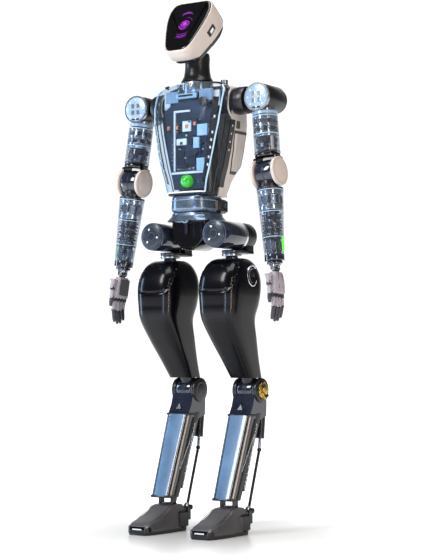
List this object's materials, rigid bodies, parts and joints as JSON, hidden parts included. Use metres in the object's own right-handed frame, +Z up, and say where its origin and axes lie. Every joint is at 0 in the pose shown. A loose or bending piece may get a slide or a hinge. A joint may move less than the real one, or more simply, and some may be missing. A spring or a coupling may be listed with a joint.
{
  "type": "humanoid robot",
  "caption": "Adult-size humanoid robot with a clear chest, glossy dark legs, five-finger hands and motor drums at each joint.",
  "frame": {"origin": "middle of the bounding box's bottom, on the floor between the feet", "axes": "+Z up; the robot faces -Y and its left side is +X"},
  "size_m": [0.6076, 0.3177, 1.6],
  "materials": {
    "gloss_black": "high gloss",
    "drum_dark": "satin",
    "blue_alloy": "satin",
    "frame_dark": "satin",
    "clear_blue": "clear",
    "warm_beige": "satin",
    "board_navy": "matte",
    "lamp_green": "gloss",
    "soft_black": "matte",
    "visor_black": "high gloss",
    "motor_silver": "brushed",
    "navy_gloss": "gloss",
    "hand_grey": "satin",
    "link_steel": "satin",
    "foot_grey": "satin"
  },
  "bodies": {
    "pelvis": {"pelvis_housing": "gloss_black", "hip_motors": "drum_dark"},
    "torso": {"waist_drum": "blue_alloy", "torso_frame": "frame_dark", "chest_shell": "clear_blue", "back_shell": "warm_beige", "side_vents": "warm_beige", "control_boards": "board_navy", "status_lamp": "lamp_green"},
    "neck_base": {"neck": "soft_black"},
    "head": {"head_shell": "warm_beige", "visor": "visor_black"},
    "left_shoulder": {"left_shoulder_bracket": "soft_black"},
    "left_upper_arm_roll": {"left_shoulder_motor": "motor_silver"},
    "left_upper_arm": {"left_upper_arm_shell": "clear_blue", "left_upper_arm_motor": "motor_silver"},
    "left_forearm": {"left_elbow_frame": "navy_gloss", "left_forearm_shell": "clear_blue", "left_forearm_motor": "motor_silver"},
    "left_wrist": {"left_wrist_link": "link_steel"},
    "left_hand": {"left_palm": "hand_grey"},
    "left_thumb_root": {"left_thumb_base": "hand_grey"},
    "left_thumb": {"left_thumb": "hand_grey"},
    "left_index_finger": {"left_index_finger": "hand_grey"},
    "left_middle_finger": {"left_middle_finger": "hand_grey"},
    "left_ring_finger": {"left_ring_finger": "hand_grey"},
    "left_little_finger": {"left_little_finger": "hand_grey"},
    "left_hip_roll": {"left_hip_roll_bracket": "soft_black"},
    "left_hip_yaw": {"left_hip_yaw_link": "drum_dark"},
    "left_thigh": {"left_thigh_frame": "frame_dark", "left_thigh_shell": "gloss_black"},
    "left_shin": {"left_shin_frame": "frame_dark", "left_shin_panel": "clear_blue"},
    "left_ankle": {"left_ankle_cross": "link_steel"},
    "left_foot": {"left_foot": "foot_grey"},
    "left_rods": {"left_ankle_rods": "link_steel"},
    "right_shoulder": {"right_shoulder_bracket": "soft_black"},
    "right_upper_arm_roll": {"right_shoulder_motor": "motor_silver"},
    "right_upper_arm": {"right_upper_arm_shell": "clear_blue", "right_upper_arm_motor": "motor_silver"},
    "right_forearm": {"right_elbow_frame": "navy_gloss", "right_forearm_shell": "clear_blue", "right_forearm_motor": "motor_silver"},
    "right_wrist": {"right_wrist_link": "link_steel"},
    "right_hand": {"right_palm": "hand_grey"},
    "right_thumb_root": {"right_thumb_base": "hand_grey"},
    "right_thumb": {"right_thumb": "hand_grey"},
    "right_index_finger": {"right_index_finger": "hand_grey"},
    "right_middle_finger": {"right_middle_finger": "hand_grey"},
    "right_ring_finger": {"right_ring_finger": "hand_grey"},
    "right_little_finger": {"right_little_finger": "hand_grey"},
    "right_hip_roll": {"right_hip_roll_bracket": "soft_black"},
    "right_hip_yaw": {"right_hip_yaw_link": "drum_dark"},
    "right_thigh": {"right_thigh_frame": "frame_dark", "right_thigh_shell": "gloss_black"},
    "right_shin": {"right_shin_frame": "frame_dark", "right_shin_panel": "clear_blue"},
    "right_ankle": {"right_ankle_cross": "link_steel"},
    "right_foot": {"right_foot": "foot_grey"},
    "right_rods": {"right_ankle_rods": "link_steel"}
  },
  "joints": [
    {"name": "waist_yaw", "type": "hinge", "parent": "pelvis", "child": "torso", "pos_m": [0, 0.007, 0.963], "axis": [0, 0, 1], "range_deg": [-60, 60]},
    {"name": "neck_yaw", "type": "hinge", "parent": "torso", "child": "neck_base", "pos_m": [0, -0.003, 1.358], "axis": [0, 0, 1], "range_deg": [-60, 60]},
    {"name": "head_pitch", "type": "hinge", "parent": "neck_base", "child": "head", "pos_m": [0, -0.009, 1.45], "axis": [1, 0, 0], "range_deg": [-10, 14]},
    {"name": "left_shoulder_pitch", "type": "hinge", "parent": "torso", "child": "left_shoulder", "pos_m": [0.124, 0.023, 1.295], "axis": [-1, 0, 0], "range_deg": [-35, 120]},
    {"name": "left_shoulder_roll", "type": "hinge", "parent": "left_shoulder", "child": "left_upper_arm_roll", "pos_m": [0.219, 0.023, 1.295], "axis": [0, -1, 0], "range_deg": [-3, 85]},
    {"name": "left_upper_arm_yaw", "type": "hinge", "parent": "left_upper_arm_roll", "child": "left_upper_arm", "pos_m": [0.2252, 0.0197, 1.24146], "axis": [-0.1147, 0.061, 0.9915], "range_deg": [-70, 70]},
    {"name": "left_elbow", "type": "hinge", "parent": "left_upper_arm", "child": "left_forearm", "pos_m": [0.24481, 0.00926, 1.07191], "axis": [-0.9934, 0, -0.1149], "range_deg": [0, 92]},
    {"name": "left_wrist_yaw", "type": "hinge", "parent": "left_forearm", "child": "left_wrist", "pos_m": [0.2751, -0.00685, 0.81015], "axis": [-0.1147, 0.061, 0.9915], "range_deg": [-70, 70]},
    {"name": "left_wrist_pitch", "type": "hinge", "parent": "left_wrist", "child": "left_hand", "pos_m": [0.27762, -0.0082, 0.78833], "axis": [0.007, 0.9981, -0.0606], "range_deg": [-30, 30]},
    {"name": "left_thumb_rotation", "type": "hinge", "parent": "left_hand", "child": "left_thumb_root", "pos_m": [0.28054, -0.05183, 0.76312], "axis": [-0.1147, 0.061, 0.9915], "range_deg": [-35, 5]},
    {"name": "left_thumb_flex", "type": "hinge", "parent": "left_thumb_root", "child": "left_thumb", "pos_m": [0.28284, -0.05305, 0.74329], "axis": [0.007, 0.9981, -0.0606], "range_deg": [0, 50]},
    {"name": "left_index_flex", "type": "hinge", "parent": "left_hand", "child": "left_index_finger", "pos_m": [0.28692, -0.03644, 0.70794], "axis": [0.007, 0.9981, -0.0606], "range_deg": [0, 80]},
    {"name": "left_middle_flex", "type": "hinge", "parent": "left_hand", "child": "left_middle_finger", "pos_m": [0.28703, -0.02097, 0.707], "axis": [0.007, 0.9981, -0.0606], "range_deg": [0, 80]},
    {"name": "left_ring_flex", "type": "hinge", "parent": "left_hand", "child": "left_ring_finger", "pos_m": [0.28714, -0.0055, 0.70606], "axis": [0.007, 0.9981, -0.0606], "range_deg": [0, 80]},
    {"name": "left_little_flex", "type": "hinge", "parent": "left_hand", "child": "left_little_finger", "pos_m": [0.28725, 0.00997, 0.70512], "axis": [0.007, 0.9981, -0.0606], "range_deg": [0, 80]},
    {"name": "left_hip_roll", "type": "hinge", "parent": "pelvis", "child": "left_hip_roll", "pos_m": [0.112, -0.001, 0.894], "axis": [0, -1, 0], "range_deg": [-2, 20]},
    {"name": "left_hip_yaw", "type": "hinge", "parent": "left_hip_roll", "child": "left_hip_yaw", "pos_m": [0.112, 0.014, 0.841], "axis": [0, 0, 1], "range_deg": [-8, 30]},
    {"name": "left_hip_pitch", "type": "hinge", "parent": "left_hip_yaw", "child": "left_thigh", "pos_m": [0.112, 0.014, 0.778], "axis": [-1, 0, 0], "range_deg": [-12, 38]},
    {"name": "left_knee", "type": "hinge", "parent": "left_thigh", "child": "left_shin", "pos_m": [0.112, 0.119, 0.43], "axis": [1, 0, 0], "range_deg": [-2, 90]},
    {"name": "left_ankle_pitch", "type": "hinge", "parent": "left_shin", "child": "left_ankle", "pos_m": [0.112, -0.001, 0.078], "axis": [-1, 0, 0], "range_deg": [-18, 18]},
    {"name": "left_ankle_roll", "type": "hinge", "parent": "left_ankle", "child": "left_foot", "pos_m": [0.112, -0.001, 0.078], "axis": [0, -1, 0], "range_deg": [-7, 7]},
    {"name": "left_ankle_rods_slide", "type": "slide", "parent": "left_shin", "child": "left_rods", "axis": [0, -0.1135, -0.9935], "range_m": [-0.0225, 0.0225]},
    {"name": "right_shoulder_pitch", "type": "hinge", "parent": "torso", "child": "right_shoulder", "pos_m": [-0.124, 0.023, 1.295], "axis": [-1, 0, 0], "range_deg": [-35, 120]},
    {"name": "right_shoulder_roll", "type": "hinge", "parent": "right_shoulder", "child": "right_upper_arm_roll", "pos_m": [-0.219, 0.023, 1.295], "axis": [0, 1, 0], "range_deg": [-3, 85]},
    {"name": "right_upper_arm_yaw", "type": "hinge", "parent": "right_upper_arm_roll", "child": "right_upper_arm", "pos_m": [-0.2252, 0.0197, 1.24146], "axis": [-0.1147, -0.061, -0.9915], "range_deg": [-70, 70]},
    {"name": "right_elbow", "type": "hinge", "parent": "right_upper_arm", "child": "right_forearm", "pos_m": [-0.24481, 0.00926, 1.07191], "axis": [-0.9934, 0, 0.1149], "range_deg": [0, 92]},
    {"name": "right_wrist_yaw", "type": "hinge", "parent": "right_forearm", "child": "right_wrist", "pos_m": [-0.2751, -0.00685, 0.81015], "axis": [-0.1147, -0.061, -0.9915], "range_deg": [-70, 70]},
    {"name": "right_wrist_pitch", "type": "hinge", "parent": "right_wrist", "child": "right_hand", "pos_m": [-0.27762, -0.0082, 0.78833], "axis": [0.007, -0.9981, 0.0606], "range_deg": [-30, 30]},
    {"name": "right_thumb_rotation", "type": "hinge", "parent": "right_hand", "child": "right_thumb_root", "pos_m": [-0.28054, -0.05183, 0.76312], "axis": [-0.1147, -0.061, -0.9915], "range_deg": [-35, 5]},
    {"name": "right_thumb_flex", "type": "hinge", "parent": "right_thumb_root", "child": "right_thumb", "pos_m": [-0.28284, -0.05305, 0.74329], "axis": [0.007, -0.9981, 0.0606], "range_deg": [0, 50]},
    {"name": "right_index_flex", "type": "hinge", "parent": "right_hand", "child": "right_index_finger", "pos_m": [-0.28692, -0.03644, 0.70794], "axis": [0.007, -0.9981, 0.0606], "range_deg": [0, 80]},
    {"name": "right_middle_flex", "type": "hinge", "parent": "right_hand", "child": "right_middle_finger", "pos_m": [-0.28703, -0.02097, 0.707], "axis": [0.007, -0.9981, 0.0606], "range_deg": [0, 80]},
    {"name": "right_ring_flex", "type": "hinge", "parent": "right_hand", "child": "right_ring_finger", "pos_m": [-0.28714, -0.0055, 0.70606], "axis": [0.007, -0.9981, 0.0606], "range_deg": [0, 80]},
    {"name": "right_little_flex", "type": "hinge", "parent": "right_hand", "child": "right_little_finger", "pos_m": [-0.28725, 0.00997, 0.70512], "axis": [0.007, -0.9981, 0.0606], "range_deg": [0, 80]},
    {"name": "right_hip_roll", "type": "hinge", "parent": "pelvis", "child": "right_hip_roll", "pos_m": [-0.112, -0.001, 0.894], "axis": [0, 1, 0], "range_deg": [-2, 20]},
    {"name": "right_hip_yaw", "type": "hinge", "parent": "right_hip_roll", "child": "right_hip_yaw", "pos_m": [-0.112, 0.014, 0.841], "axis": [0, 0, -1], "range_deg": [-8, 30]},
    {"name": "right_hip_pitch", "type": "hinge", "parent": "right_hip_yaw", "child": "right_thigh", "pos_m": [-0.112, 0.014, 0.778], "axis": [-1, 0, 0], "range_deg": [-12, 38]},
    {"name": "right_knee", "type": "hinge", "parent": "right_thigh", "child": "right_shin", "pos_m": [-0.112, 0.119, 0.43], "axis": [1, 0, 0], "range_deg": [-2, 90]},
    {"name": "right_ankle_pitch", "type": "hinge", "parent": "right_shin", "child": "right_ankle", "pos_m": [-0.112, -0.001, 0.078], "axis": [-1, 0, 0], "range_deg": [-18, 18]},
    {"name": "right_ankle_roll", "type": "hinge", "parent": "right_ankle", "child": "right_foot", "pos_m": [-0.112, -0.001, 0.078], "axis": [0, 1, 0], "range_deg": [-7, 7]},
    {"name": "right_ankle_rods_slide", "type": "slide", "parent": "right_shin", "child": "right_rods", "axis": [0, -0.1135, -0.9935], "range_m": [-0.0225, 0.0225]}
  ],
  "couplings": [
    {"joint": "left_ankle_rods_slide", "follows": "left_ankle_pitch", "m_per_rad": 0.07046},
    {"joint": "right_ankle_rods_slide", "follows": "right_ankle_pitch", "m_per_rad": 0.07046}
  ]
}
